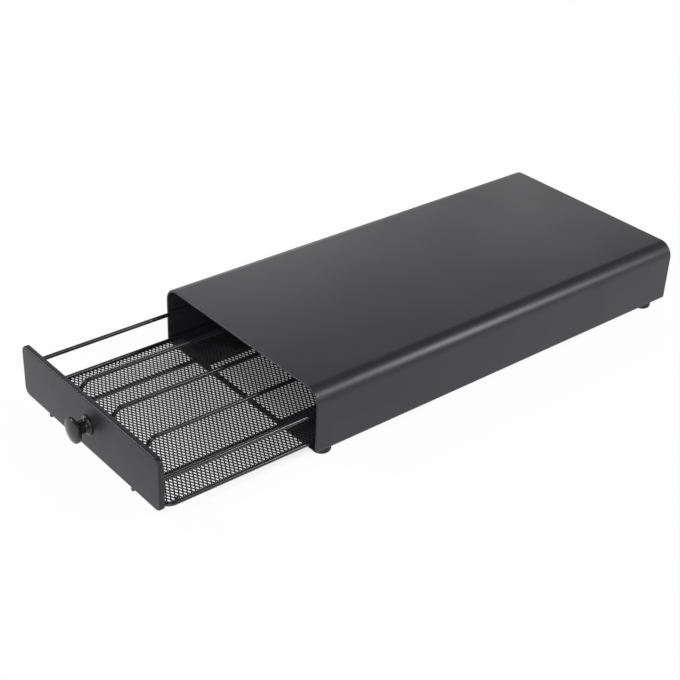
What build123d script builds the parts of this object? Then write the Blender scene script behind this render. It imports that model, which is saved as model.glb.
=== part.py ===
from build123d import *
import os
from math import atan2, cos, sin, sqrt

# Coffee pod drawer: a folded steel casing on four rubber feet, and a wire drawer with a steel front
# that slides out of the casing's mouth. The capsules stand in four lanes on a mesh floor.
# Millimetres. +X is to the right seen from the front, +Y runs from the mouth to the back, +Z is up.
# The origin is on the floor, under the middle of the whole piece with the drawer part open.

# --- Casing: one sheet folded into a roof, two sides and two narrow lower flanges ---
casing_width = 190.0
casing_length = 388.0
casing_height = 56.8  # from the floor to the roof, feet included
casing_sheet = 0.8
top_bend_radius = 12.5  # outside of the long upper bends
bottom_bend_radius = 2.0  # outside of the long lower bends
flange_width = 49.0  # from the casing's side to the flange's inner edge
hem_thickness = 2.0  # the mouth's edge is folded back on itself
hem_depth = 7.0
hem_nose_bevel = 0.6
back_sheet = 0.8
back_return = 5.5  # depth of the back's rim, welded inside the casing
strip_width = 4.5  # flat strip across the mouth, joining the flanges
strip_setback = 0.2
strip_lap = 5.0  # how far the strip lies on each flange
strip_sheet = 0.8

# --- Feet: push-in rubber bumpers ---
foot_height = 5.0
foot_diameter = 14.8
foot_edge_bevel = 1.6
foot_side_setback = 8.0  # casing side to foot centre
foot_front_setback = 11.5
foot_rear_setback = 19.0
foot_stem_diameter = 4.0
foot_stem_clearance = 0.1
foot_barb_diameter = 5.8
foot_barb_tip_diameter = 3.4
foot_barb_height = 1.8

# --- Drawer: steel front, welded wires and a mesh floor ---
drawer_open = 129.0  # how far the drawer stands out as modelled
drawer_length = 380.5  # from the front's face to the rearmost wire
slide_clearance = 0.25  # under the runners and over the flanges
wire_diameter = 3.3
weld_bite = 0.15  # how far welded wires sink into each other
front_side_gap = 4.2  # between the front and the plane of the casing's side, each side
front_height = 42.4
front_depth = 4.0  # the front is a shallow pan with a rim all round
front_sheet = 1.0
front_corner_radius = 6.0
front_edge_radius = 1.4
frame_side_inset = 1.2  # bottom frame inside the front's edge
frame_corner_radius = 9.0
rail_rise = 23.6  # upper rail's axis above the bottom frame's axis
rail_side_gap = 0.1  # between the rail and the inside of the front's rim
rail_corner_radius = 9.0
post_inset = 14.0  # rear post, in from the rail's side
divider_names = ("left", "centre", "right")
divider_leg_run = 20.0  # how far forward a divider's sloping leg reaches
divider_bend_radius = 6.0
runner_spacing = 110.0
runner_setback = 0.6  # runner tip behind the front's face
runner_tip_bevel = 0.5

# --- Mesh floor: expanded steel. Its own diamonds are 5.9 x 3.3; here they are 5.5 times as coarse ---
mesh_sheet = 0.8
mesh_long_way = 32.4  # diamond pitch across the drawer
mesh_short_way = 18.2  # diamond pitch along the drawer
mesh_strand = 5.0
mesh_border = 2.0  # least width of plain sheet round the edge

# --- Knob: a turned mushroom knob, held by a screw from behind the front ---
knob_length = 14.2
knob_base_diameter = 15.4
knob_base_rim = 1.0
knob_neck_diameter = 10.0
knob_neck_start = 3.0
knob_neck_end = 8.2
knob_head_diameter = 19.5
knob_head_back = 9.9  # front's face to the head's widest ring
knob_rim_bevel = 0.5
knob_dome_rise = 1.8
knob_crown_diameter = 11.0  # the flatter middle of the dome
knob_crown_rise = 0.6
screw_diameter = 4.0
screw_head_diameter = 7.4
screw_head_height = 2.2
screw_head_bevel = 0.7
screw_reach = 8.0  # into the knob
screw_slot_depth = 1.0
screw_slot_width = 1.0
thread_clearance = 0.05
screw_hole_clearance = 0.2
washer_diameter = 9.0
washer_thickness = 0.8

# --- Sizes and heights worked out from the above ---
body_height = casing_height - foot_height
flange_top = foot_height + casing_sheet
wire_radius = wire_diameter / 2
runner_z = flange_top + slide_clearance + wire_radius
underside_z = runner_z + wire_radius - weld_bite  # underside of the front, the frame and the mesh
frame_z = underside_z + wire_radius
rail_z = frame_z + rail_rise
mesh_top = underside_z + mesh_sheet
front_width = casing_width - 2 * front_side_gap
front_mid_z = underside_z + front_height / 2

# --- Places along the drawer and the casing ---
mouth_y = (knob_length + drawer_open - casing_length) / 2
face_y = mouth_y - drawer_open
casing_back_y = mouth_y + casing_length


def half_chord(distance):
    """Half the width of a wire's section at a distance from its axis."""
    return sqrt(wire_radius**2 - distance**2)


rim_back_y = face_y + front_depth
frame_front_y = rim_back_y + half_chord(wire_radius - front_sheet) - weld_bite
frame_rear_y = face_y + drawer_length - wire_radius

# --- Places across ---
frame_x = front_width / 2 - frame_side_inset - wire_radius
rail_x = front_width / 2 - front_sheet - rail_side_gap - wire_radius
post_x = rail_x - post_inset
runner_x = runner_spacing / 2
divider_pitch = 2 * frame_x / (len(divider_names) + 1)
slot_half = casing_width / 2 - flange_width
foot_x = casing_width / 2 - foot_side_setback
foot_front_y = mouth_y + foot_front_setback
foot_rear_y = casing_back_y - foot_rear_setback

ON_BASE = (Align.CENTER, Align.CENTER, Align.MIN)


def back_from(y, depth, face):
    """Extrudes a face, drawn in X and Z, from y towards the back."""
    return extrude(Plane.XZ.offset(-y) * face, amount=-depth)


def casing_section(inset):
    """The casing's cross section, drawn inside its outer faces by inset."""
    width = casing_width - 2 * inset
    height = body_height - 2 * inset
    face = Pos(0, foot_height + body_height / 2) * Rectangle(width, height)
    face = fillet(face.vertices().group_by(Axis.Y)[-1], top_bend_radius - inset)
    if bottom_bend_radius > inset:
        face = fillet(face.vertices().group_by(Axis.Y)[0], bottom_bend_radius - inset)
    return face


def foot_places():
    """Each foot's name and centre."""
    for end, y in (("front", foot_front_y), ("rear", foot_rear_y)):
        for side, x in (("left", -foot_x), ("right", foot_x)):
            yield f"foot_{end}_{side}", x, y


def make_casing_cover():
    """Roof, sides and flanges in one folded sheet, hemmed at the mouth, with a hole for each foot."""
    hem_floor = foot_height + bottom_bend_radius
    sheet = back_from(mouth_y, casing_length, casing_section(0) - casing_section(casing_sheet))
    hem = back_from(mouth_y, hem_depth, casing_section(0) - casing_section(hem_thickness))
    hem -= Pos(0, mouth_y + hem_depth / 2, 0) * Box(casing_width, hem_depth, hem_floor, align=ON_BASE)
    cover = sheet + hem
    cover -= Pos(0, mouth_y + casing_length / 2, foot_height) * Box(
        2 * slot_half, casing_length, casing_sheet, align=ON_BASE
    )
    mouth_edges = cover.edges().group_by(Axis.Y)[0].filter_by_position(
        Axis.Z, hem_floor, casing_height, (False, True)
    )
    cover = chamfer(mouth_edges, hem_nose_bevel)
    hole_radius = foot_stem_diameter / 2 + foot_stem_clearance
    for _, x, y in foot_places():
        cover -= Pos(x, y, foot_height) * Cylinder(hole_radius, casing_sheet, align=ON_BASE)
    return cover


def make_casing_back():
    """Closes the rear end: a plate with a rim all round, welded inside the casing."""
    pan = back_from(casing_back_y - back_return, back_return, casing_section(casing_sheet))
    hollow = back_from(
        casing_back_y - back_return, back_return - back_sheet, casing_section(casing_sheet + back_sheet)
    )
    return pan - hollow


def make_front_cross_strip():
    """Flat strip that ties the two flanges together across the mouth."""
    y = mouth_y + strip_setback + strip_width / 2
    return Pos(0, y, flange_top) * Box(
        2 * (slot_half + strip_lap), strip_width, strip_sheet, align=ON_BASE
    )


def make_foot(x, y):
    """Rubber pad with a stem through the flange and a barb above it."""
    pad = Cylinder(foot_diameter / 2, foot_height, align=ON_BASE)
    pad = chamfer(pad.edges().sort_by(Axis.Z)[0], foot_edge_bevel)
    stem = Pos(0, 0, foot_height) * Cylinder(foot_stem_diameter / 2, casing_sheet, align=ON_BASE)
    barb = Pos(0, 0, flange_top) * Cone(
        foot_barb_diameter / 2, foot_barb_tip_diameter / 2, foot_barb_height, align=ON_BASE
    )
    return Pos(x, y, 0) * (pad + stem + barb)


def make_drawer_front():
    """Shallow pressed pan: face, rounded edge and a rim all round, with the knob screw's hole."""
    middle = Pos(0, front_mid_z)
    pan = back_from(
        face_y, front_depth, middle * RectangleRounded(front_width, front_height, front_corner_radius)
    )
    pan = fillet(pan.edges().group_by(Axis.Y)[0], front_edge_radius)
    hollow = back_from(
        face_y + front_sheet,
        front_depth - front_sheet,
        middle
        * RectangleRounded(
            front_width - 2 * front_sheet,
            front_height - 2 * front_sheet,
            front_corner_radius - front_sheet,
        ),
    )
    hole = back_from(
        face_y, front_sheet, middle * Circle(screw_diameter / 2 + screw_hole_clearance)
    )
    return pan - hollow - hole


def make_knob():
    """Turned knob: flared base, neck and a domed head, with a threaded hole from behind."""
    base = knob_base_diameter / 2
    neck = knob_neck_diameter / 2
    head = knob_head_diameter / 2
    side = Polyline(
        (0, knob_length),
        (0, 0),
        (base, 0),
        (base, knob_base_rim),
        (neck, knob_neck_start),
        (neck, knob_neck_end),
        (head, knob_head_back),
        (head, knob_length - knob_dome_rise),
        (knob_crown_diameter / 2, knob_length - knob_crown_rise),
        close=True,
    )
    profile = make_face(side)
    profile = chamfer(profile.vertices().group_by(Axis.X)[-1], knob_rim_bevel)
    plane = Plane(origin=(0, face_y, front_mid_z), x_dir=(1, 0, 0), z_dir=(0, 0, -1))
    knob = revolve(plane * profile, Axis((0, face_y, front_mid_z), (0, -1, 0)))
    bore = back_from(
        face_y - screw_reach,
        screw_reach,
        Pos(0, front_mid_z) * Circle(screw_diameter / 2 + thread_clearance),
    )
    return knob - bore


def make_knob_washer():
    """Plain washer between the screw's head and the front."""
    ring = Circle(washer_diameter / 2) - Circle(screw_diameter / 2 + screw_hole_clearance)
    return back_from(face_y + front_sheet, washer_thickness, Pos(0, front_mid_z) * ring)


def make_knob_screw():
    """Slotted pan-head screw that draws the knob against the front."""
    middle = Pos(0, front_mid_z)
    head_y = face_y + front_sheet + washer_thickness
    head = back_from(head_y, screw_head_height, middle * Circle(screw_head_diameter / 2))
    head = chamfer(head.edges().sort_by(Axis.Y)[-1], screw_head_bevel)
    slot = back_from(
        head_y + screw_head_height - screw_slot_depth,
        screw_slot_depth,
        middle * Rectangle(screw_head_diameter, screw_slot_width),
    )
    shank_y = face_y - screw_reach
    shank = back_from(shank_y, head_y - shank_y, middle * Circle(screw_diameter / 2))
    return head - slot + shank


def wire_along(path):
    """A round wire along a path."""
    return sweep(Plane(origin=path @ 0, z_dir=path % 0) * Circle(wire_radius), path)


def make_bottom_frame():
    """Closed wire loop round the floor of the drawer."""
    loop = RectangleRounded(2 * frame_x, frame_rear_y - frame_front_y, frame_corner_radius)
    place = Pos(0, (frame_front_y + frame_rear_y) / 2, frame_z)
    return wire_along(place * loop.wire())


def make_upper_rail():
    """U-shaped wire from the front, round the rear and back to the front."""
    start_y = face_y + front_sheet
    corners = [
        (-rail_x, start_y, rail_z),
        (-rail_x, frame_rear_y, rail_z),
        (rail_x, frame_rear_y, rail_z),
        (rail_x, start_y, rail_z),
    ]
    return wire_along(FilletPolyline(*corners, radius=rail_corner_radius))


def make_rear_post(x):
    """Upright between the bottom frame and the upper rail."""
    low = frame_z + wire_radius - weld_bite
    high = rail_z - wire_radius + weld_bite
    return Pos(x, frame_rear_y, low) * Cylinder(wire_radius, high - low, align=ON_BASE)


def make_divider(x):
    """Raised wire between two lanes, with a leg sloping down to the frame at each end."""
    slope = atan2(rail_rise, divider_leg_run)
    standoff = wire_radius - weld_bite
    reach = standoff * cos(slope)
    foot_z = frame_z + standoff * sin(slope)
    corners = [
        (x, frame_front_y + reach, foot_z),
        (x, frame_front_y + divider_leg_run, rail_z),
        (x, frame_rear_y - divider_leg_run, rail_z),
        (x, frame_rear_y - reach, foot_z),
    ]
    return wire_along(FilletPolyline(*corners, radius=divider_bend_radius))


def make_runner(x):
    """Straight wire under the floor that slides on a flange, with bevelled tips."""
    start_y = face_y + runner_setback
    length = frame_rear_y + wire_radius - start_y
    runner = back_from(start_y, length, Pos(x, runner_z) * Circle(wire_radius))
    return chamfer(runner.edges().filter_by(GeomType.CIRCLE), runner_tip_bevel)


def make_mesh_floor():
    """Expanded steel sheet inside the bottom frame: staggered rows of diamonds in a plain border."""
    inset = half_chord(wire_radius - mesh_sheet) - weld_bite
    half_width = frame_x - inset
    half_length = (frame_rear_y - frame_front_y) / 2 - inset
    middle_y = (frame_front_y + frame_rear_y) / 2
    sheet = RectangleRounded(2 * half_width, 2 * half_length, frame_corner_radius - inset)
    cell_x = mesh_long_way / 2
    cell_y = mesh_short_way / 2
    open_share = 1 - mesh_strand * sqrt(cell_x**2 + cell_y**2) / (2 * cell_x * cell_y)
    hole_x = open_share * cell_x
    hole_y = open_share * cell_y
    last_x = half_width - mesh_border - hole_x
    last_y = half_length - mesh_border - hole_y
    columns = int(last_x / cell_x)
    rows = int(2 * last_y / cell_y)
    holes = []
    for row in range(rows + 1):
        shift = row % 2
        for column in range(columns + 1 - shift):
            x = (2 * column + shift - columns) * cell_x
            y = (row - rows / 2) * cell_y
            diamond = [(x - hole_x, y), (x, y - hole_y), (x + hole_x, y), (x, y + hole_y)]
            holes.append(Wire.make_polygon(diamond, close=True))
    net = Face(sheet.wire(), holes)
    return extrude(Pos(0, middle_y, underside_z) * net, amount=mesh_sheet, dir=(0, 0, 1))


def make_all():
    """Every node's name and solid."""
    parts = {
        "casing_cover": make_casing_cover(),
        "casing_back": make_casing_back(),
        "front_cross_strip": make_front_cross_strip(),
        "drawer_front": make_drawer_front(),
        "knob": make_knob(),
        "knob_washer": make_knob_washer(),
        "knob_screw": make_knob_screw(),
        "bottom_frame": make_bottom_frame(),
        "upper_rail": make_upper_rail(),
        "mesh_floor": make_mesh_floor(),
    }
    for name, x, y in foot_places():
        parts[name] = make_foot(x, y)
    for side, sign in (("left", -1), ("right", 1)):
        parts[f"runner_{side}"] = make_runner(sign * runner_x)
        parts[f"rear_post_{side}"] = make_rear_post(sign * post_x)
    for place, name in enumerate(divider_names, start=1):
        parts[f"divider_{name}"] = make_divider(place * divider_pitch - frame_x)
    return parts


os.makedirs("parts", exist_ok=True)
for name, solid in make_all().items():
    export_step(solid, f"parts/{name}.step")
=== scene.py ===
"""Dresses the coffee pod drawer: a folded steel casing with a drawer of welded wire, part open.

Everything is in metres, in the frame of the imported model: +X right, +Y towards the back, +Z up.
"""

import logging
from dataclasses import dataclass
from enum import Enum
from math import cos, pi, radians, sin, tan
from typing import Sequence

import bmesh
import bpy
from mathutils import Matrix, Vector


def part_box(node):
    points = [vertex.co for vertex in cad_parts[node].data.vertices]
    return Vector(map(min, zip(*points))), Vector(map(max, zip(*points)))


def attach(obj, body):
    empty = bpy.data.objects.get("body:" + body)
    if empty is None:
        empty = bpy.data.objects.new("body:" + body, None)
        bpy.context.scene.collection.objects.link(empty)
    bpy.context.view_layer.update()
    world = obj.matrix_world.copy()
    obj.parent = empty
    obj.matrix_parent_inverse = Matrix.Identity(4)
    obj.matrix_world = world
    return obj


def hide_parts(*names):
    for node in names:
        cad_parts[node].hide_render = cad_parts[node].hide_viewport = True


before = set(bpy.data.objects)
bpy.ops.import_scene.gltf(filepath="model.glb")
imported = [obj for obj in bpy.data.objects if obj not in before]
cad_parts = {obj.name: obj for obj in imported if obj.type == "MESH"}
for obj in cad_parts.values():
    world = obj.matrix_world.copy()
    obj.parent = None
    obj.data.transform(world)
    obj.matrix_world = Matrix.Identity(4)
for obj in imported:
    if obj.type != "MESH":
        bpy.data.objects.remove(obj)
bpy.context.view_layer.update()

LOG = logging.getLogger("pod_drawer")

Colour = tuple[float, float, float]
Triple = tuple[float, float, float]
Point = tuple[float, float]
Edges = list[bmesh.types.BMEdge]

# Points nearer to each other than this are one point.
SAME_PLACE = 1e-6
# How near to a cutting plane a point counts as on it.
ON_THE_CUT = 1e-7
# How much finer the patches of tint are than the patches of gloss.
TINT_FINENESS = 1.7


class Body(Enum):
    """The two bodies that pieces ride on."""

    CASING = "casing"
    DRAWER = "drawer"


class Slot(Enum):
    """The material slots of the record."""

    CASING = "casing_powder_coat"
    FRONT = "front_powder_coat"
    WIRE = "wire_powder_coat"
    MESH = "mesh_powder_coat"
    KNOB = "knob_enamel"
    SCREW = "screw_steel"
    FOOT = "foot_rubber"


# --- Shader nodes -------------------------------------------------------------------------------


def set_inputs(node: bpy.types.Node, values: dict[str, float | Sequence[float]]) -> None:
    """Gives a node's own sockets their plain values.

    Args:
        node: The node.
        values: Each socket's name and value.
    """
    for name, value in values.items():
        node.inputs[name].default_value = value


def math_node(nodes: bpy.types.Nodes, operation: str) -> bpy.types.Node:
    """Places a Math node.

    Args:
        nodes: The tree's nodes.
        operation: What it works out, such as MULTIPLY.

    Returns:
        The node.
    """
    node = nodes.new("ShaderNodeMath")
    node.operation = operation
    return node


class ShaderGroups:
    """Effects that several finishes share, each built once as a node group."""

    def __init__(self) -> None:
        """Builds the groups."""
        self.cloud = self._build_cloud()
        self.grain = self._build_grain()

    @staticmethod
    def _socket(
        group: bpy.types.NodeTree, name: str, kind: str, into: bool, default: float | None = None
    ) -> None:
        """Adds a named socket to a group.

        Args:
            group: The node group.
            name: The socket's name.
            kind: The socket's type without its prefix, such as Float.
            into: True for an input, False for an output.
            default: The socket's starting value, if it has one.
        """
        socket = group.interface.new_socket(
            name=name, in_out="INPUT" if into else "OUTPUT", socket_type=f"NodeSocket{kind}"
        )
        if default is not None:
            socket.default_value = default

    def _build_cloud(self) -> bpy.types.NodeTree:
        """Builds a soft patchy value between two limits, for uneven coating and handling marks.

        Returns:
            The group, with inputs Scale, Low and High and output Value.
        """
        group = bpy.data.node_groups.new("cloudy_value", "ShaderNodeTree")
        for name, default in (("Scale", 10.0), ("Low", 0.0), ("High", 1.0)):
            self._socket(group, name, "Float", True, default)
        self._socket(group, "Value", "Float", False)
        nodes, links = group.nodes, group.links
        source, sink = nodes.new("NodeGroupInput"), nodes.new("NodeGroupOutput")
        place = nodes.new("ShaderNodeTexCoord")
        noise = nodes.new("ShaderNodeTexNoise")
        set_inputs(noise, {"Detail": 4.0, "Roughness": 0.6})
        spread = nodes.new("ShaderNodeMapRange")
        set_inputs(spread, {"From Min": 0.3, "From Max": 0.7})
        links.new(place.outputs["Object"], noise.inputs["Vector"])
        links.new(source.outputs["Scale"], noise.inputs["Scale"])
        links.new(noise.outputs["Fac"], spread.inputs["Value"])
        links.new(source.outputs["Low"], spread.inputs["To Min"])
        links.new(source.outputs["High"], spread.inputs["To Max"])
        links.new(spread.outputs["Result"], sink.inputs["Value"])
        return group

    def _build_grain(self) -> bpy.types.NodeTree:
        """Builds the relief of a sprayed or moulded skin: fine grain over a slow ripple.

        Returns:
            The group, with inputs Grain Scale, Ripple Scale, Grain Share and Depth, and output
                Normal.
        """
        group = bpy.data.node_groups.new("skin_relief", "ShaderNodeTree")
        for name, default in (
            ("Grain Scale", 2000.0), ("Ripple Scale", 300.0), ("Grain Share", 0.5),
            ("Depth", 0.00002),
        ):
            self._socket(group, name, "Float", True, default)
        self._socket(group, "Normal", "Vector", False)
        nodes, links = group.nodes, group.links
        source, sink = nodes.new("NodeGroupInput"), nodes.new("NodeGroupOutput")
        place = nodes.new("ShaderNodeTexCoord")
        grain, ripple = nodes.new("ShaderNodeTexNoise"), nodes.new("ShaderNodeTexNoise")
        set_inputs(grain, {"Detail": 2.0})
        set_inputs(ripple, {"Detail": 1.0})
        blend = nodes.new("ShaderNodeMix")
        bump = nodes.new("ShaderNodeBump")
        set_inputs(bump, {"Strength": 1.0})
        for noise, scale in ((grain, "Grain Scale"), (ripple, "Ripple Scale")):
            links.new(place.outputs["Object"], noise.inputs["Vector"])
            links.new(source.outputs[scale], noise.inputs["Scale"])
        links.new(source.outputs["Grain Share"], blend.inputs["Factor"])
        links.new(ripple.outputs["Fac"], blend.inputs["A"])
        links.new(grain.outputs["Fac"], blend.inputs["B"])
        links.new(blend.outputs["Result"], bump.inputs["Height"])
        links.new(source.outputs["Depth"], bump.inputs["Distance"])
        links.new(bump.outputs["Normal"], sink.inputs["Normal"])
        return group


# --- Finishes -----------------------------------------------------------------------------------


@dataclass(frozen=True)
class Finish:
    """A painted, enamelled, moulded or plated skin with uneven colour, gloss and relief."""

    name: str
    colour: Colour
    worn_colour: Colour
    roughness: Point
    patch_scale: float
    grain_scale: float
    ripple_scale: float
    grain_share: float
    depth: float
    metallic: float = 0.0
    specular: float = 0.5

    def material(self, groups: ShaderGroups) -> bpy.types.Material:
        """Builds the finish's material.

        Args:
            groups: The shared shader node groups.

        Returns:
            The material, with all its detail on Object coordinates.
        """
        material = bpy.data.materials.new(self.name)
        material.use_nodes = True
        nodes, links = material.node_tree.nodes, material.node_tree.links
        shader = nodes["Principled BSDF"]
        set_inputs(shader, {"Metallic": self.metallic, "Specular IOR Level": self.specular})

        gloss = self._group(nodes, groups.cloud)
        low, high = self.roughness
        set_inputs(gloss, {"Scale": self.patch_scale, "Low": low, "High": high})
        links.new(gloss.outputs["Value"], shader.inputs["Roughness"])

        patches = self._group(nodes, groups.cloud)
        set_inputs(patches, {"Scale": self.patch_scale * TINT_FINENESS})
        tint = nodes.new("ShaderNodeMix")
        tint.data_type = "RGBA"
        set_inputs(tint, {"A": (*self.colour, 1.0), "B": (*self.worn_colour, 1.0)})
        links.new(patches.outputs["Value"], tint.inputs["Factor"])
        links.new(tint.outputs["Result"], shader.inputs["Base Color"])

        relief = self._group(nodes, groups.grain)
        set_inputs(relief, {
            "Grain Scale": self.grain_scale, "Ripple Scale": self.ripple_scale,
            "Grain Share": self.grain_share, "Depth": self.depth,
        })
        links.new(relief.outputs["Normal"], shader.inputs["Normal"])
        return material

    @staticmethod
    def _group(nodes: bpy.types.Nodes, tree: bpy.types.NodeTree) -> bpy.types.Node:
        """Places a node group in a material and returns its node."""
        node = nodes.new("ShaderNodeGroup")
        node.node_tree = tree
        return node


FINISHES: dict[Slot, Finish] = {
    Slot.CASING: Finish(
        "casing_satin_black", colour=(0.016, 0.016, 0.020), worn_colour=(0.021, 0.021, 0.025),
        roughness=(0.37, 0.43), patch_scale=14.0, grain_scale=2600.0, ripple_scale=420.0,
        grain_share=0.6, depth=0.00003, specular=0.4,
    ),
    Slot.FRONT: Finish(
        "front_satin_black", colour=(0.012, 0.012, 0.016), worn_colour=(0.018, 0.018, 0.022),
        roughness=(0.36, 0.44), patch_scale=18.0, grain_scale=2600.0, ripple_scale=420.0,
        grain_share=0.6, depth=0.00003, specular=0.29,
    ),
    Slot.WIRE: Finish(
        "wire_satin_black", colour=(0.010, 0.010, 0.012), worn_colour=(0.017, 0.017, 0.019),
        roughness=(0.24, 0.32), patch_scale=60.0, grain_scale=2200.0, ripple_scale=500.0,
        grain_share=0.4, depth=0.00004,
    ),
    Slot.MESH: Finish(
        "mesh_satin_black", colour=(0.015, 0.015, 0.017), worn_colour=(0.023, 0.023, 0.025),
        roughness=(0.34, 0.44), patch_scale=45.0, grain_scale=2200.0, ripple_scale=500.0,
        grain_share=0.4, depth=0.00004, specular=0.42,
    ),
    Slot.KNOB: Finish(
        "knob_gloss_enamel", colour=(0.014, 0.012, 0.012), worn_colour=(0.019, 0.017, 0.017),
        roughness=(0.18, 0.26), patch_scale=70.0, grain_scale=1500.0, ripple_scale=260.0,
        grain_share=0.2, depth=0.00002, specular=0.38,
    ),
    Slot.SCREW: Finish(
        "screw_zinc", colour=(0.50, 0.50, 0.51), worn_colour=(0.40, 0.39, 0.37),
        roughness=(0.28, 0.42), patch_scale=300.0, grain_scale=6000.0, ripple_scale=900.0,
        grain_share=0.5, depth=0.00001, metallic=1.0,
    ),
    Slot.FOOT: Finish(
        "foot_black_rubber", colour=(0.012, 0.012, 0.012), worn_colour=(0.020, 0.020, 0.019),
        roughness=(0.62, 0.78), patch_scale=120.0, grain_scale=3000.0, ripple_scale=700.0,
        grain_share=0.5, depth=0.00005, specular=0.35,
    ),
}


class Palette:
    """Builds each finish's material once and hands it to pieces."""

    def __init__(self) -> None:
        """Builds the shared groups and every material."""
        groups = ShaderGroups()
        self._materials = {slot: finish.material(groups) for slot, finish in FINISHES.items()}

    def dress(self, piece: bpy.types.Object, slot: Slot) -> None:
        """Gives a new piece or a CAD node the finish of a slot.

        Args:
            piece: The object to dress.
            slot: The record's slot.
        """
        piece.data.materials.clear()
        piece.data.materials.append(self._materials[slot])


# --- Mesh making --------------------------------------------------------------------------------


class Workpiece:
    """A bmesh in the making, with the steps that several pieces need."""

    # The fewest steps of a bend, and the fewest segments of a rounding.
    LEAST_BEND_STEPS = 2
    LEAST_ROUND_SEGMENTS = 3
    # The segments of a rounding that turns by half a turn.
    ROUND_SEGMENTS = 14

    def __init__(self) -> None:
        """Starts with nothing."""
        self.bm = bmesh.new()

    def ring(self, points: Sequence[Vector]) -> Edges:
        """Draws a closed outline.

        Args:
            points: The outline's corners in order.

        Returns:
            The outline's edges.
        """
        verts = [self.bm.verts.new(point) for point in points]
        return [self.bm.edges.new((a, b)) for a, b in zip(verts, verts[1:] + verts[:1])]

    def circle(self, centre: Vector, heading: Vector, radius: float, sides: int) -> Edges:
        """Draws a circle across a heading.

        Args:
            centre: The circle's middle.
            heading: The direction that the circle faces.
            radius: Its radius.
            sides: How many sides it has.

        Returns:
            The circle's edges.
        """
        turn = heading.to_track_quat("Z", "Y").to_matrix().to_4x4()
        made = bmesh.ops.create_circle(
            self.bm, cap_ends=False, segments=sides, radius=radius,
            matrix=Matrix.Translation(centre) @ turn,
        )
        return list({edge for vert in made["verts"] for edge in vert.link_edges})

    def grow(self, edges: Edges, step: Vector) -> Edges:
        """Extrudes an outline in a straight run.

        Args:
            edges: The outline's edges.
            step: The run, from start to end.

        Returns:
            The edges of the run's far end.
        """
        made = bmesh.ops.extrude_edge_only(self.bm, edges=edges)["geom"]
        verts = [item for item in made if isinstance(item, bmesh.types.BMVert)]
        bmesh.ops.translate(self.bm, verts=verts, vec=step)
        far = set(verts)
        return [e for e in made if isinstance(e, bmesh.types.BMEdge) and far.issuperset(e.verts)]

    def turn(self, edges: Edges, centre: Vector, axis: Vector, angle: float, steps: int) -> Edges:
        """Spins an outline round a bend.

        Args:
            edges: The outline's edges.
            centre: A point on the bend's axis.
            axis: The bend's axis.
            angle: How far it turns.
            steps: How many steps it takes.

        Returns:
            The edges of the bend's far end.
        """
        verts = list({vert for edge in edges for vert in edge.verts})
        made = bmesh.ops.spin(
            self.bm, geom=verts + edges, cent=centre, axis=axis, dvec=(0, 0, 0),
            angle=angle, steps=steps,
        )["geom_last"]
        return [item for item in made if isinstance(item, bmesh.types.BMEdge)]

    def follow(
        self, edges: Edges, corners: Sequence[Vector], bend: float, steps: int,
        closed: bool = False, caps: tuple[bool, bool] = (True, True),
    ) -> None:
        """Sweeps an outline along runs that are joined by round bends, as a wire bender does.

        Args:
            edges: The outline's edges, at the first corner or, on a closed path, halfway to the
                second.
            corners: The path's corners.
            bend: The radius of every bend.
            steps: How many steps a quarter turn takes.
            closed: Whether the path comes back to its start.
            caps: Whether the start and the end of an open path are closed with a face.
        """
        path = [Vector(corner) for corner in corners]
        place = path[0]
        if closed:
            place = (path[0] + path[1]) / 2
            path = [place, *path[1:], path[0], place]
        self.cap(edges, closed or not caps[0])
        for before, corner, after in zip(path, path[1:], path[2:]):
            inward, outward = (corner - before).normalized(), (after - corner).normalized()
            angle = inward.angle(outward)
            reach = bend * tan(angle / 2)
            start = corner - inward * reach
            axis = inward.cross(outward).normalized()
            hub = start + axis.cross(inward) * bend
            bend_steps = max(self.LEAST_BEND_STEPS, round(steps * angle / (pi / 2)))
            edges = self.grow(edges, start - place)
            edges = self.turn(edges, hub, axis, angle, bend_steps)
            place = corner + outward * reach
        edges = self.grow(edges, path[-1] - place)
        self.cap(edges, closed or not caps[1])

    def cap(self, edges: Edges, skip: bool = False) -> None:
        """Closes an outline with one face.

        Args:
            edges: The outline's edges.
            skip: Leaves it open instead.
        """
        if not skip:
            bmesh.ops.contextual_create(self.bm, geom=edges)

    def round_off(self, geom: list, offset: float, segments: int, affect: str) -> None:
        """Rounds corners or edges.

        Args:
            geom: The corners or edges.
            offset: How far from them the rounding starts.
            segments: How many segments it has.
            affect: VERTICES for the corners of an outline, EDGES for edges.
        """
        bmesh.ops.bevel(
            self.bm, geom=geom, offset=offset, offset_type="OFFSET", segments=segments,
            profile=0.5, affect=affect, material=-1,
        )

    def lathe(
        self, points: Sequence[Point], rounds: dict[int, float], base: Vector, axis: Vector,
        steps: int,
    ) -> None:
        """Turns a profile into a round solid.

        Args:
            points: Radius and height of each corner, starting and ending on the axis.
            rounds: The radius of the rounding at each corner that has one.
            base: Where height is nought.
            axis: The direction of growing height.
            steps: How many steps a full turn takes.
        """
        across = axis.orthogonal().normalized()
        verts = [self.bm.verts.new(base + across * r + axis * h) for r, h in points]
        edges = [self.bm.edges.new(pair) for pair in zip(verts, verts[1:])]
        for index, radius in rounds.items():
            before, corner, after = (Vector(points[i]) for i in (index - 1, index, index + 1))
            angle = (corner - before).angle(after - corner)
            segments = max(self.LEAST_ROUND_SEGMENTS, round(self.ROUND_SEGMENTS * angle / pi))
            self.round_off([verts[index]], radius * tan(angle / 2), segments, "VERTICES")
        profile = [edge for edge in self.bm.edges if edge.is_wire]
        ends = list({vert for edge in profile for vert in edge.verts})
        bmesh.ops.spin(
            self.bm, geom=ends + profile, cent=base, axis=axis, dvec=(0, 0, 0), angle=2 * pi,
            steps=steps, use_merge=True,
        )

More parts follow.
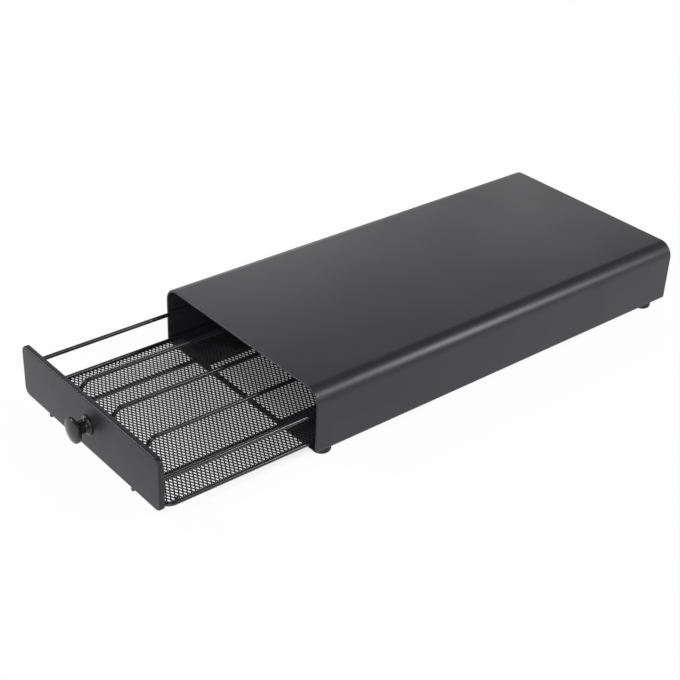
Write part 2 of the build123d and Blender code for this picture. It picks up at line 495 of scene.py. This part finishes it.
    def bead(self, place: Vector, size: Triple) -> None:
        """Adds a small rounded bead of weld metal.

        Args:
            place: Its middle.
            size: Its half widths along X, Y and Z.
        """
        bmesh.ops.create_icosphere(
            self.bm, subdivisions=2, radius=1.0,
            matrix=Matrix.Translation(place) @ Matrix.Diagonal((*size, 1.0)),
        )

    def piece(self, name: str, smooth_angle: float = 35.0) -> bpy.types.Object:
        """Finishes the mesh and makes it an object.

        Args:
            name: The object's name.
            smooth_angle: Edges flatter than this, in degrees, are shaded smooth.

        Returns:
            The new object, linked to the scene.
        """
        bmesh.ops.remove_doubles(self.bm, verts=self.bm.verts, dist=SAME_PLACE)
        bmesh.ops.recalc_face_normals(self.bm, faces=self.bm.faces)
        for face in self.bm.faces:
            face.smooth = True
        for edge in self.bm.edges:
            edge.smooth = edge.is_manifold and edge.calc_face_angle(0.0) < radians(smooth_angle)
        mesh = bpy.data.meshes.new(name)
        self.bm.to_mesh(mesh)
        self.bm.free()
        made = bpy.data.objects.new(name, mesh)
        bpy.context.scene.collection.objects.link(made)
        return made


@dataclass
class Assembly:
    """What both sub-assemblies share: placing pieces on a body and dressing them."""

    palette: Palette
    body: Body

    def place(self, piece: bpy.types.Object, slot: Slot, *nodes: str) -> bpy.types.Object:
        """Dresses a piece, sets it on its body and lets it stand for CAD nodes.

        Args:
            piece: The new piece.
            slot: The slot it takes its finish from.
            nodes: The CAD nodes it replaces.

        Returns:
            The piece.
        """
        self.palette.dress(piece, slot)
        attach(piece, self.body.value)
        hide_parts(*nodes)
        LOG.info("%s: %d faces, on %s", piece.name, len(piece.data.polygons), self.body.value)
        return piece

    def keep(self, slot: Slot, *nodes: str) -> None:
        """Dresses CAD nodes that stay as they are.

        Args:
            slot: The slot they take their finish from.
            nodes: Their names.
        """
        for node in nodes:
            self.palette.dress(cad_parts[node], slot)
            LOG.info("%s: CAD node kept, %s", node, slot.value)


# --- Casing -------------------------------------------------------------------------------------


@dataclass
class Casing(Assembly):
    """The folded casing, its back, the strip across the mouth and the feet."""

    body: Body = Body.CASING
    # The sheet, its bends and the hem at the mouth.
    sheet: float = 0.0008
    top_bend: float = 0.0125
    bottom_bend: float = 0.002
    bend_steps: int = 14
    flange: float = 0.049
    hem_thickness: float = 0.002
    hem_depth: float = 0.007
    hem_steps: int = 12
    # Where the hem starts on the side, in radii of the lower bend.
    seam_rise: float = 1.25
    # A foot: its tread, with shares of its radius, its roundings and its stem's radii.
    tread_hollow: float = 0.0012
    hollow_share: float = 0.42
    tread_share: float = 0.50
    tread_round: float = 0.0004
    side_round: float = 0.0022
    stem: float = 0.0020
    barb: float = 0.0029
    barb_tip: float = 0.0017
    barb_round: float = 0.0003
    foot_steps: int = 48

    def __post_init__(self) -> None:
        """Reads the cover's box."""
        self.low, self.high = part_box("casing_cover")

    def build(self) -> None:
        """Makes and dresses every piece of the casing."""
        self.place(self.make_cover(), Slot.CASING, "casing_cover")
        self.keep(Slot.CASING, "casing_back", "front_cross_strip")
        for node in ("foot_front_left", "foot_front_right", "foot_rear_left", "foot_rear_right"):
            self.place(self.make_foot(node), Slot.FOOT, node)

    def make_cover(self) -> bpy.types.Object:
        """Folds the cover from one sheet, with its hem rolled in at the mouth.

        Returns:
            The cover.
        """
        low, high = self.low, self.high
        slot_half = high.x - self.flange
        nose, fold = self.hem_lines(low.y)
        plain = [(0.0, nose[0][1]), (0.0, high.y), (self.sheet, high.y), fold[-2], fold[-1]]
        hemmed = [(self.sheet, high.y), (0.0, high.y), *nose, *fold[:-1]]
        seam = low.z + self.seam_rise * self.bottom_bend
        work = Workpiece()
        for side in (-1.0, 1.0):
            corners = [
                Vector((side * slot_half, 0.0, low.z)), Vector((side * high.x, 0.0, low.z)),
                Vector((side * high.x, 0.0, seam)),
            ]
            flange = work.ring([Vector((side * slot_half, y, low.z + inset)) for inset, y in plain])
            work.follow(flange, corners, self.bottom_bend, self.bend_steps // 2, caps=(True, False))
            step = [Vector((side * (high.x - inset), y, seam)) for inset, y in (*nose, *fold)]
            work.cap(work.ring(step))
        over = [
            Vector((low.x, 0.0, seam)), Vector((low.x, 0.0, high.z)),
            Vector((high.x, 0.0, high.z)), Vector((high.x, 0.0, seam)),
        ]
        upright = work.ring([Vector((low.x + inset, y, seam)) for inset, y in hemmed])
        work.follow(upright, over, self.top_bend, self.bend_steps, caps=(False, False))
        return work.piece("cover", smooth_angle=40.0)

    def hem_lines(self, mouth: float) -> tuple[list[Point], list[Point]]:
        """Draws the edge folded in at the mouth, as inset from the outer face and place along Y.

        Args:
            mouth: The mouth's place along Y.

        Returns:
            The round nose, and the fold from there back to the sheet's inner face.
        """
        lip = self.hem_thickness / 2
        turn = (pi * step / self.hem_steps for step in range(self.hem_steps + 1))
        nose = [(lip - lip * cos(angle), mouth + lip - lip * sin(angle)) for angle in turn]
        end, inner = mouth + self.hem_depth, self.hem_thickness
        ease = self.sheet / 3
        fold = [
            (inner, end - ease), (inner - ease, end), (self.sheet, end), (self.sheet, mouth + lip)
        ]
        return nose, fold

    def make_foot(self, node: str) -> bpy.types.Object:
        """Turns one rubber foot with its hollowed tread, stem and barb.

        Args:
            node: The CAD node that it stands for.

        Returns:
            The foot.
        """
        low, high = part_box(node)
        radius = (high.x - low.x) / 2
        pad = self.low.z - low.z
        base = Vector(((low.x + high.x) / 2, (low.y + high.y) / 2, low.z))
        height = high.z - low.z
        profile = [
            (0.0, self.tread_hollow), (radius * self.hollow_share, self.tread_hollow),
            (radius * self.tread_share, 0.0), (radius, 0.0), (radius, pad), (self.stem, pad),
            (self.stem, pad + self.sheet), (self.barb, pad + self.sheet), (self.barb_tip, height),
            (0.0, height),
        ]
        rounds = {2: self.tread_round, 3: self.side_round, 4: self.tread_round, 8: self.barb_round}
        work = Workpiece()
        work.lathe(profile, rounds, base, Vector((0, 0, 1)), self.foot_steps)
        return work.piece(node.replace("foot", "bumper"))


# --- Drawer -------------------------------------------------------------------------------------


@dataclass
class Drawer(Assembly):
    """The front with its knob, the welded wires and the mesh floor."""

    body: Body = Body.DRAWER
    # The wires.
    wire: float = 0.00165
    wire_sides: int = 20
    bend_steps: int = 10
    loop_corner: float = 0.009
    rail_corner: float = 0.009
    divider_bend: float = 0.006
    divider_leg_run: float = 0.020
    divider_bite: float = 0.00015
    tip_round: float = 0.0005
    tip_steps: int = 3
    # The weld beads: half widths along X, Y and Z, and how far two of them are set off.
    rail_bead: Triple = (0.0021, 0.0012, 0.0021)
    post_bead: Triple = (0.0018, 0.0016, 0.0009)
    runner_bead: Triple = (0.0016, 0.0017, 0.0006)
    divider_bead: Triple = (0.0018, 0.0016, 0.0012)
    rail_bead_set_in: float = 0.0003
    runner_bead_sunk: float = 0.0001
    # The front.
    panel_corner: float = 0.006
    panel_corner_steps: int = 10
    panel_edge: float = 0.0014
    panel_edge_steps: int = 6
    panel_sheet: float = 0.001
    # The knob: radii, and heights over the front.
    knob_foot: float = 0.0077
    knob_foot_rim: float = 0.001
    knob_neck: float = 0.005
    knob_neck_start: float = 0.003
    knob_neck_end: float = 0.0082
    knob_head_start: float = 0.0099
    knob_dome: float = 0.0018
    knob_steps: int = 72
    # The mesh floor.
    mesh_long_way: float = 0.0059
    mesh_short_way: float = 0.0033
    mesh_margin: int = 2
    mesh_corner_cut: float = 0.0012
    strand_half: float = 0.00051
    strand_gauge: float = 0.00045
    strand_tilt: float = 0.00022

    def __post_init__(self) -> None:
        """Reads where the main pieces are."""
        self.panel_low, self.panel_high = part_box("drawer_front")
        self.frame_low, self.frame_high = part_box("bottom_frame")
        self.rail_low, self.rail_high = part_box("upper_rail")

    def build(self) -> None:
        """Makes and dresses every piece of the drawer."""
        self.place(self.make_panel(), Slot.FRONT, "drawer_front")
        self.place(self.make_knob(), Slot.KNOB, "knob")
        self.keep(Slot.SCREW, "knob_washer", "knob_screw")
        self.place(self.make_bottom_loop(), Slot.WIRE, "bottom_frame")
        self.place(self.make_rail(), Slot.WIRE, "upper_rail")
        for side in ("left", "right"):
            self.place(self.make_post(f"rear_post_{side}"), Slot.WIRE, f"rear_post_{side}")
            self.place(self.make_runner(f"runner_{side}"), Slot.WIRE, f"runner_{side}")
        for side in ("left", "centre", "right"):
            self.place(self.make_divider(f"divider_{side}"), Slot.WIRE, f"divider_{side}")
        self.place(self.make_net(), Slot.MESH, "mesh_floor")

    def make_panel(self) -> bpy.types.Object:
        """Presses the front: a shallow pan with round corners and a soft edge.

        Returns:
            The front.
        """
        low, high = self.panel_low, self.panel_high
        work = Workpiece()
        middle = (low + high) / 2
        size = Matrix.Diagonal(((high.x - low.x) / 2, (high.z - low.z) / 2, 1.0, 1.0))
        place = Matrix.Translation((middle.x, low.y, middle.z))
        upright = place @ Matrix.Rotation(pi / 2, 4, "X") @ size
        bmesh.ops.create_grid(work.bm, x_segments=1, y_segments=1, size=1.0, matrix=upright)
        corners = list(work.bm.verts)
        work.round_off(corners, self.panel_corner, self.panel_corner_steps, "VERTICES")
        outline = list(work.bm.edges)
        work.grow(outline, Vector((0, high.y - low.y, 0)))
        work.round_off(outline, self.panel_edge, self.panel_edge_steps, "EDGES")
        bmesh.ops.recalc_face_normals(work.bm, faces=work.bm.faces)
        face = max(work.bm.faces, key=lambda item: item.calc_area())
        if face.normal.y > 0:
            bmesh.ops.reverse_faces(work.bm, faces=work.bm.faces)
        bmesh.ops.solidify(work.bm, geom=list(work.bm.faces), thickness=self.panel_sheet)
        return work.piece("front_panel", smooth_angle=32.0)

    def make_knob(self) -> bpy.types.Object:
        """Turns the mushroom knob.

        Returns:
            The knob.
        """
        low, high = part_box("knob")
        length = high.y - low.y
        head = (high.x - low.x) / 2
        rim = length - self.knob_dome
        shares = (0.2, 0.4, 0.6, 0.8)
        dome = [(head * share, length - self.knob_dome * share**2) for share in shares]
        profile = [
            (0.0, 0.0), (self.knob_foot, 0.0), (self.knob_foot, self.knob_foot_rim),
            (self.knob_neck, self.knob_neck_start), (self.knob_neck, self.knob_neck_end),
            (head, self.knob_head_start), (head, rim), *reversed(dome), (0.0, length),
        ]
        rounds = {1: 0.0002, 2: 0.0004, 3: 0.0016, 4: 0.0012, 5: 0.0008, 6: 0.0008}
        work = Workpiece()
        base = Vector(((low.x + high.x) / 2, high.y, (low.z + high.z) / 2))
        work.lathe(profile, rounds, base, Vector((0, -1, 0)), self.knob_steps)
        return work.piece("pull_knob")

    def tube(
        self, work: Workpiece, corners: Sequence[Vector], bend: float, closed: bool = False
    ) -> None:
        """Bends a wire along corners.

        Args:
            work: The mesh that the wire is added to.
            corners: The corners of the wire's axis.
            bend: The radius of its bends.
            closed: Whether it comes back to its start.
        """
        heading = (corners[1] - corners[0]).normalized()
        start = (corners[0] + corners[1]) / 2 if closed else corners[0]
        outline = work.circle(start, heading, self.wire, self.wire_sides)
        work.follow(outline, corners, bend, self.bend_steps, closed)

    def make_bottom_loop(self) -> bpy.types.Object:
        """Bends the closed wire round the floor.

        Returns:
            The loop.
        """
        low, high, r = self.frame_low, self.frame_high, self.wire
        z = low.z + r
        corners = [
            Vector((low.x + r, low.y + r, z)), Vector((high.x - r, low.y + r, z)),
            Vector((high.x - r, high.y - r, z)), Vector((low.x + r, high.y - r, z)),
        ]
        work = Workpiece()
        self.tube(work, corners, self.loop_corner, closed=True)
        return work.piece("floor_loop")

    def make_rail(self) -> bpy.types.Object:
        """Bends the upper rail round the rear, with a weld bead at each front end.

        Returns:
            The rail.
        """
        low, high, r = self.rail_low, self.rail_high, self.wire
        z = low.z + r
        corners = [
            Vector((low.x + r, low.y, z)), Vector((low.x + r, high.y - r, z)),
            Vector((high.x - r, high.y - r, z)), Vector((high.x - r, low.y, z)),
        ]
        work = Workpiece()
        self.tube(work, corners, self.rail_corner)
        for x in (low.x + r, high.x - r):
            work.bead(Vector((x, low.y + self.rail_bead_set_in, z)), self.rail_bead)
        return work.piece("side_rail")

    def make_post(self, node: str) -> bpy.types.Object:
        """Cuts one rear post.

        Args:
            node: The CAD node that it stands for.

        Returns:
            The post, with a weld bead at each end.
        """
        low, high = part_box(node)
        x, y = (low.x + high.x) / 2, (low.y + high.y) / 2
        work = Workpiece()
        self.tube(work, [Vector((x, y, low.z)), Vector((x, y, high.z))], 0.0)
        for z in (low.z, high.z):
            work.bead(Vector((x, y, z)), self.post_bead)
        return work.piece(node.replace("post", "upright"))

    def make_runner(self, node: str) -> bpy.types.Object:
        """Cuts one runner, with rounded tips and a weld bead under each end of the loop.

        Args:
            node: The CAD node that it stands for.

        Returns:
            The runner.
        """
        low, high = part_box(node)
        x, z = (low.x + high.x) / 2, (low.z + high.z) / 2
        work = Workpiece()
        self.tube(work, [Vector((x, low.y, z)), Vector((x, high.y, z))], 0.0)
        tips = [
            edge for edge in work.bm.edges if any(len(face.verts) > 4 for face in edge.link_faces)
        ]
        work.round_off(tips, self.tip_round, self.tip_steps, "EDGES")
        for y in (self.frame_low.y + self.wire, self.frame_high.y - self.wire):
            work.bead(Vector((x, y, high.z - self.runner_bead_sunk)), self.runner_bead)
        return work.piece(node.replace("runner", "slide_wire"))

    def make_divider(self, node: str) -> bpy.types.Object:
        """Bends one divider, with a leg sloping down to the loop at each end.

        Args:
            node: The CAD node that it stands for.

        Returns:
            The divider, with a weld bead at each foot.
        """
        low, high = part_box(node)
        x, top = (low.x + high.x) / 2, high.z - self.wire
        front, rear = self.frame_low.y + self.wire, self.frame_high.y - self.wire
        foot = self.frame_low.z + self.wire
        slope = Vector((0, self.divider_leg_run, top - foot)).normalized()
        lift = slope * (self.wire - self.divider_bite)
        corners = [
            Vector((x, front, foot)) + lift, Vector((x, front + self.divider_leg_run, top)),
            Vector((x, rear - self.divider_leg_run, top)),
            Vector((x, rear, foot)) + Vector((0, -lift.y, lift.z)),
        ]
        work = Workpiece()
        self.tube(work, corners, self.divider_bend)
        for end in (corners[0], corners[-1]):
            work.bead(end, self.divider_bead)
        return work.piece(node.replace("divider", "lane_wire"))

    def make_net(self) -> bpy.types.Object:
        """Cuts and stretches the expanded steel floor: staggered diamonds with tilted strands.

        Returns:
            The net, trimmed to the loop.
        """
        low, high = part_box("mesh_floor")
        half_x, half_y = (high.x - low.x) / 2, (high.y - low.y) / 2
        middle = Vector((0.0, (low.y + high.y) / 2, low.z + (high.z - low.z) / 2))
        work = Workpiece()
        cell_x, cell_y = self.mesh_long_way / 2, self.mesh_short_way / 2
        columns = 2 * int(half_x / self.mesh_long_way + self.mesh_margin)
        rows = 2 * int(half_y / self.mesh_short_way + self.mesh_margin)
        self.lay_diamonds(work, cell_x, cell_y, columns, rows)
        self.trim(work, half_x, half_y, self.loop_corner - self.mesh_corner_cut)
        rings = bmesh.ops.inset_individual(
            work.bm, faces=list(work.bm.faces), thickness=self.strand_half, depth=0.0,
            use_even_offset=True,
        )["faces"]
        kept = set(rings)
        holes = [face for face in work.bm.faces if face not in kept]
        for face in holes:
            centre = face.calc_center_median()
            for vert in face.verts:
                vert.co.z += self.strand_tilt * (centre.y - vert.co.y) / cell_y
        bmesh.ops.delete(work.bm, geom=holes, context="FACES_ONLY")
        bmesh.ops.recalc_face_normals(work.bm, faces=work.bm.faces)
        bmesh.ops.solidify(work.bm, geom=list(work.bm.faces), thickness=self.strand_gauge)
        verts = work.bm.verts
        lift = -(max(v.co.z for v in verts) + min(v.co.z for v in verts)) / 2
        bmesh.ops.translate(work.bm, verts=verts, vec=middle + Vector((0, 0, lift)))
        return work.piece("expanded_floor", smooth_angle=50.0)

    @staticmethod
    def lay_diamonds(
        work: Workpiece, cell_x: float, cell_y: float, columns: int, rows: int
    ) -> None:
        """Lays a sheet of staggered diamonds round the origin, from a square grid set on end.

        Args:
            work: The mesh that they are added to.
            cell_x: Half a diamond's width.
            cell_y: Half a diamond's length.
            columns: How many diamonds lie across.
            rows: How many lie along.
        """
        across = columns + rows
        bmesh.ops.create_grid(work.bm, x_segments=across, y_segments=across, size=across / 2)
        skew = Matrix(((cell_x, cell_x, 0, 0), (-cell_y, cell_y, 0, 0), (0, 0, 1, 0), (0, 0, 0, 1)))
        bmesh.ops.transform(work.bm, matrix=skew, verts=work.bm.verts)

    @staticmethod
    def trim(work: Workpiece, half_x: float, half_y: float, corner: float) -> None:
        """Shears a flat sheet to a rectangle with round corners.

        Args:
            work: The mesh to trim.
            half_x: Half the width that stays.
            half_y: Half the length that stays.
            corner: The radius of its corners.
        """
        cuts = 4
        for quarter in range(4):
            for part in range(cuts):
                angle = (quarter + part / cuts) * pi / 2
                way = Vector((cos(angle), sin(angle), 0))
                x_side, y_side = (1 if value > -SAME_PLACE else -1 for value in way.xy)
                hub = Vector(((half_x - corner) * x_side, (half_y - corner) * y_side, 0))
                everything = [*work.bm.verts, *work.bm.edges, *work.bm.faces]
                bmesh.ops.bisect_plane(
                    work.bm, geom=everything, dist=ON_THE_CUT, plane_co=hub + way * corner,
                    plane_no=way, clear_outer=True,
                )


# --- Studio -------------------------------------------------------------------------------------


@dataclass(frozen=True)
class Lamp:
    """One soft box: where it hangs, its width and height in metres and its power in watts."""

    name: str
    place: Triple
    width: float
    height: float
    power: float

    def hang(self) -> None:
        """Hangs the soft box, aimed at the object."""
        data = bpy.data.lights.new(self.name, "AREA")
        data.shape = "RECTANGLE"
        data.size, data.size_y, data.energy = self.width, self.height, self.power
        lamp = bpy.data.objects.new(self.name, data)
        lamp.location = self.place
        lamp.rotation_euler = Vector(self.place).to_track_quat("Z", "Y").to_euler()
        bpy.context.scene.collection.objects.link(lamp)


@dataclass
class Studio:
    """The camera, the lamps and the white stage."""

    # The camera: its place, and which way the picture's right and down point.
    eye: Triple = (0.709561, -0.640111, 0.589615)
    right: Triple = (0.637562, 0.769331, 0.040547)
    down: Triple = (0.422295, -0.304977, -0.853614)
    lens: float = 73.43
    sensor: float = 36.0
    # The floor: its grey, its finish, its size, and how much of its white rays see.
    floor_grey: float = 0.85
    floor_roughness: float = 0.9
    floor_specular: float = 0.1
    floor_radius: float = 7.0
    floor_sides: int = 96
    floor_glow: float = 0.96
    # Painted shadow on the floor: the glow's level under the casing and the drawer, and how wide
    # each rise to 1 is.
    casing_shadow_level: float = 0.5
    casing_shadow_fade: Point = (0.03, 0.03)
    drawer_shadow_level: float = 0.74
    drawer_shadow_fade: Point = (0.012, 0.13)
    sky: float = 0.15
    lamps: tuple[Lamp, ...] = (
        Lamp("right_front", (1.8, -1.2, 1.0), width=1.0, height=1.0, power=22.0),
        Lamp("front_low", (0.3, -2.2, 0.7), width=1.4, height=0.8, power=17.0),
        Lamp("left_front_low", (-1.9, -1.5, 0.35), width=0.8, height=0.5, power=8.0),
        Lamp("left_front_high", (-1.45, -1.15, 1.4), width=0.3, height=0.3, power=20.0),
        Lamp("right_rear", (1.5, 1.3, 1.0), width=0.5, height=0.5, power=11.5),
        Lamp("right_rear_high", (1.4, 1.05, 1.4), width=0.3, height=0.6, power=17.0),
        Lamp("left_low", (-2.0, 0.95, 0.75), width=0.7, height=0.8, power=5.0),
        Lamp("left_rear", (-1.5, 1.6, 0.85), width=1.2, height=1.0, power=4.9),
    )

    def build(self) -> None:
        """Sets up everything round the object."""
        self.make_camera()
        self.make_stage()
        self.make_world()
        for lamp in self.lamps:
            lamp.hang()
        bpy.context.scene.view_settings.view_transform = "Standard"

    def make_camera(self) -> None:
        """Stands the camera where the photograph was taken from."""
        right, down = Vector(self.right).normalized(), Vector(self.down).normalized()
        back = right.cross(-down).normalized()
        data = bpy.data.cameras.new("camera")
        data.lens = self.lens
        data.sensor_width = self.sensor
        data.clip_start, data.clip_end = 0.01, 100.0
        camera = bpy.data.objects.new("camera", data)
        turn = Matrix((right, -down, back)).transposed().to_4x4()
        camera.matrix_world = Matrix.Translation(self.eye) @ turn
        bpy.context.scene.collection.objects.link(camera)
        bpy.context.scene.camera = camera

    def make_stage(self) -> None:
        """Lays the white floor, which shows white, keeps a faint soft shadow and has a shadow
        painted under the casing and the drawer.
        """
        material = bpy.data.materials.new("stage_white")
        material.use_nodes = True
        nodes, links = material.node_tree.nodes, material.node_tree.links
        shader, out = nodes["Principled BSDF"], nodes["Material Output"]
        set_inputs(shader, {
            "Base Color": (self.floor_grey, self.floor_grey, self.floor_grey, 1.0),
            "Roughness": self.floor_roughness, "Specular IOR Level": self.floor_specular,
        })
        glow = nodes.new("ShaderNodeEmission")
        glow.inputs["Strength"].default_value = 1.0
        mix = nodes.new("ShaderNodeMixShader")
        share = math_node(nodes, "MULTIPLY")
        links.new(self.seen_share(nodes, links, self.floor_glow), share.inputs[0])
        # The floor's glow is dimmed under the casing and the drawer: a painted shadow.
        links.new(self.painted_shadow_share(nodes, links), share.inputs[1])
        links.new(share.outputs[0], mix.inputs["Fac"])
        links.new(shader.outputs["BSDF"], mix.inputs[1])
        links.new(glow.outputs["Emission"], mix.inputs[2])
        links.new(mix.outputs["Shader"], out.inputs["Surface"])
        work = Workpiece()
        bmesh.ops.create_circle(
            work.bm, cap_ends=True, segments=self.floor_sides, radius=self.floor_radius
        )
        floor = work.piece("stage_floor")
        floor.data.materials.append(material)

    def painted_shadow_share(
        self, nodes: bpy.types.Nodes, links: bpy.types.NodeLinks
    ) -> bpy.types.NodeSocket:
        """Gives 1 on the open floor and less under the drawer and casing, a painted shadow where
        less light falls.

        Args:
            nodes: The floor's nodes.
            links: The floor's links.

        Returns:
            The socket that carries it.
        """
        under = (
            (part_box("casing_cover"), self.casing_shadow_fade, self.casing_shadow_level),
            (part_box("bottom_frame"), self.drawer_shadow_fade, self.drawer_shadow_level),
        )
        both = math_node(nodes, "MULTIPLY")
        for socket, (box, fade, level) in zip(both.inputs, under):
            links.new(self.painted_shadow_under(nodes, links, box, fade, level), socket)
        return both.outputs[0]

    @staticmethod
    def painted_shadow_under(
        nodes: bpy.types.Nodes, links: bpy.types.NodeLinks, box: tuple[Vector, Vector],
        fade: Point, level: float,
    ) -> bpy.types.NodeSocket:
        """Gives the level of a painted shadow under a box, which rises smoothly to 1 at the box's
        edges.

        Args:
            nodes: The floor's nodes.
            links: The floor's links.
            box: The box's lowest and highest corners.
            fade: How wide the rise is along X and along Y.
            level: The level under its middle.

        Returns:
            The socket that carries it.
        """
        low, high = box
        place = nodes.new("ShaderNodeTexCoord")
        shift, size = nodes.new("ShaderNodeVectorMath"), nodes.new("ShaderNodeVectorMath")
        shift.operation, size.operation = "SUBTRACT", "ABSOLUTE"
        shift.inputs[1].default_value = (low + high) / 2
        split = nodes.new("ShaderNodeSeparateXYZ")
        links.new(place.outputs["Object"], shift.inputs[0])
        links.new(shift.outputs[0], size.inputs[0])
        links.new(size.outputs[0], split.inputs[0])
        far = math_node(nodes, "MAXIMUM")
        for index, (half, width) in enumerate(zip((high - low) / 2, fade)):
            edge = nodes.new("ShaderNodeMapRange")
            edge.interpolation_type = "SMOOTHSTEP"
            set_inputs(edge, {"From Min": half - width, "From Max": half})
            links.new(split.outputs[index], edge.inputs["Value"])
            links.new(edge.outputs["Result"], far.inputs[index])
        result = nodes.new("ShaderNodeMapRange")
        result.inputs["To Min"].default_value = level
        links.new(far.outputs[0], result.inputs["Value"])
        return result.outputs["Result"]

    @staticmethod
    def seen_share(
        nodes: bpy.types.Nodes, links: bpy.types.NodeLinks, share: float
    ) -> bpy.types.NodeSocket:
        """Gives a share for rays that show the background, and nought for rays that give light.

        Args:
            nodes: The tree's nodes.
            links: The tree's links.
            share: The share on camera, glossy and transmission rays.

        Returns:
            The socket that carries it.
        """
        path = nodes.new("ShaderNodeLightPath")
        first, second = math_node(nodes, "MAXIMUM"), math_node(nodes, "MAXIMUM")
        scale = math_node(nodes, "MULTIPLY")
        scale.inputs[1].default_value = share
        links.new(path.outputs["Is Camera Ray"], first.inputs[0])
        links.new(path.outputs["Is Glossy Ray"], first.inputs[1])
        links.new(first.outputs[0], second.inputs[0])
        links.new(path.outputs["Is Transmission Ray"], second.inputs[1])
        links.new(second.outputs[0], scale.inputs[0])
        return scale.outputs[0]

    def make_world(self) -> None:
        """Lights softly from all round, and shows white behind the floor's edge."""
        world = bpy.data.worlds.new("studio")
        world.use_nodes = True
        nodes, links = world.node_tree.nodes, world.node_tree.links
        light = nodes["Background"]
        light.inputs["Color"].default_value = (1.0, 1.0, 1.0, 1.0)
        light.inputs["Strength"].default_value = self.sky
        white = nodes.new("ShaderNodeBackground")
        white.inputs["Color"].default_value = (1.0, 1.0, 1.0, 1.0)
        path = nodes.new("ShaderNodeLightPath")
        mix = nodes.new("ShaderNodeMixShader")
        links.new(path.outputs["Is Camera Ray"], mix.inputs["Fac"])
        links.new(light.outputs["Background"], mix.inputs[1])
        links.new(white.outputs["Background"], mix.inputs[2])
        links.new(mix.outputs["Shader"], nodes["World Output"].inputs["Surface"])
        bpy.context.scene.world = world


def main() -> None:
    """Builds the studio and both sub-assemblies, and keeps the sizes."""
    logging.basicConfig(level=logging.INFO, format="%(name)s: %(message)s")
    Studio().build()
    palette = Palette()
    for assembly in (Casing(palette), Drawer(palette)):
        LOG.info("building %s", type(assembly).__name__)
        assembly.build()


if __name__ == "__main__":
    main()
